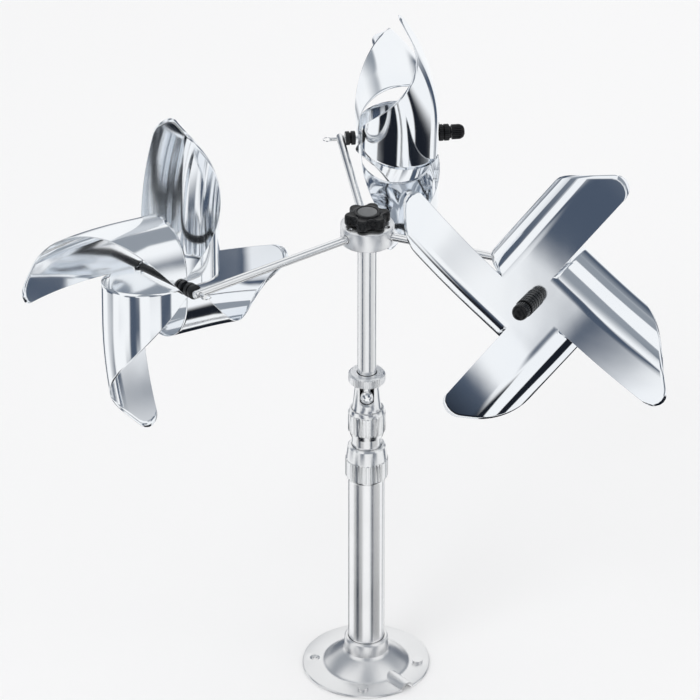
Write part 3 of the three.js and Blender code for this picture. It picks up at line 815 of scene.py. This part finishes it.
def make_knob():
    """The star knob, with a raised ring round the recess of its disc."""
    r, bottom = KNOB["radius"], KNOB["bottom"]
    fine("star_knob", [
        (0, 359.3), (KNOB["bore"], 359.3), (KNOB["bore"], bottom), (r - 1.4, bottom),
        (r - 0.5, bottom + 0.4), (r, bottom + 1.2), (r, 360.0), (r - 0.2, 360.8), (r - 0.8, 361.5),
        (r - 1.7, 361.8), (10.6, 361.6), (9.4, 361.5), (8.8, 361.8), (8.6, 362.3), (8.4, 362.6),
        (8.0, 362.7), (7.3, 362.7), (6.9, 362.4), (6.9, 361.7), (0, 361.7),
    ], 240, star, sharp=40)
    fine("knob_disc", [
        (0, 362.0), (6.4, 362.0), (6.6, 362.2), (6.6, 362.5), (6.3, 362.7), (0, 362.7),
    ], 64)


def pinned_tips(name, joint, axis):
    """Where the stack of pinned blade tips begins on the axle, in mm from the arm."""
    places = [v.co - Vector(joint["pos_m"]) for v in NODES[f"blade_sheet_{name}"].data.vertices]
    on_axle = [p.dot(axis) for p in places if (p - axis * p.dot(axis)).length < 0.003]
    return min(on_axle) / MM


def make_wheel_parts(name):
    """The arm, and the round black pieces on the pinwheel's axle."""
    joint = spin_joint(name)
    forward = Vector(joint["axis"]).normalized()
    axle = Matrix.Translation(Vector(joint["pos_m"])) @ forward.to_track_quat("Z", "Y").to_matrix().to_4x4()
    bearing = math.degrees(math.atan2(joint["pos_m"][1], joint["pos_m"][0]))
    r, outer = ARM["radius"], ARM["outer"]
    arm = turned([
        (0, ARM["inner"]), (r, ARM["inner"]), (r, outer - 1.85), (r - 0.15, outer - 1.05),
        (r - 0.65, outer - 0.35), (r - 1.55, outer - 0.05), (0, outer),
    ], 40)
    placed(arm, lying(bearing, ARM["z"]))
    pin_hole = rod_solid(1.7, -4, 4, axle, 32)
    stands_for(combined(f"fine_arm_{name}", arm, [("DIFFERENCE", pin_hole)]), f"arm_{name}")

    r, start, waist = REAR_HUB["radius"], REAR_HUB["start"], REAR_HUB["waist"]
    end = pinned_tips(name, joint, forward) - GAP
    middle = (start + end) / 2
    fine(f"rear_hub_{name}", [
        (AXLE_BORE, start), (r - 0.3, start), (r, start + 0.3), (r, middle - 0.7), (r - 0.3, middle - 0.5),
        (waist, middle - 0.4), (waist, middle + 0.4), (r - 0.3, middle + 0.5), (r, middle + 0.7),
        (r, end - 0.3), (r - 0.3, end), (AXLE_BORE, end),
    ], 48, matrix=axle)

    r, start, end = FRONT_HUB["radius"], FRONT_HUB["start"], FRONT_HUB["end"]
    profile = [(AXLE_BORE, start), (r - 0.3, start), (r, start + 0.3)]
    for groove in (start + 2.8, start + 6.4):
        profile += [(r, groove), (r - 0.7, groove + 0.3), (r - 0.7, groove + 0.7), (r, groove + 1)]
    profile += [(r, end - 1.8), (r - 0.4, end - 1.3), (FRONT_HUB["neck"], end - 1.1),
                (FRONT_HUB["neck"], end), (AXLE_BORE, end)]
    fine(f"front_hub_{name}", profile, 192, fluted(24, 0.25, start + 3.7, end - 1.6), axle)

    r, start, end = FRONT_CAP["radius"], FRONT_CAP["start"], FRONT_CAP["end"]
    fine(f"front_cap_{name}", [
        (AXLE_BORE, start), (r - 0.3, start), (r, start + 0.3), (r, end - 3.9), (r - 0.2, end - 2.9),
        (r - 0.8, end - 1.6), (r - 1.7, end - 0.7), (r - 2.9, end - 0.15), (0, end),
        (0, FRONT_CAP["bore_end"]), (AXLE_BORE, FRONT_CAP["bore_end"]),
    ], 192, fluted(24, 0.4, start + 0.2, end - 3.7), axle)


make_camera()
make_studio()
LOOKS = dress_frame()
make_tubes()
make_nuts()
make_pole()
make_cup()
make_flange()
make_hub()
make_knob()
for pinwheel in "abc":
    make_sheet(pinwheel)
    make_wheel_parts(pinwheel)
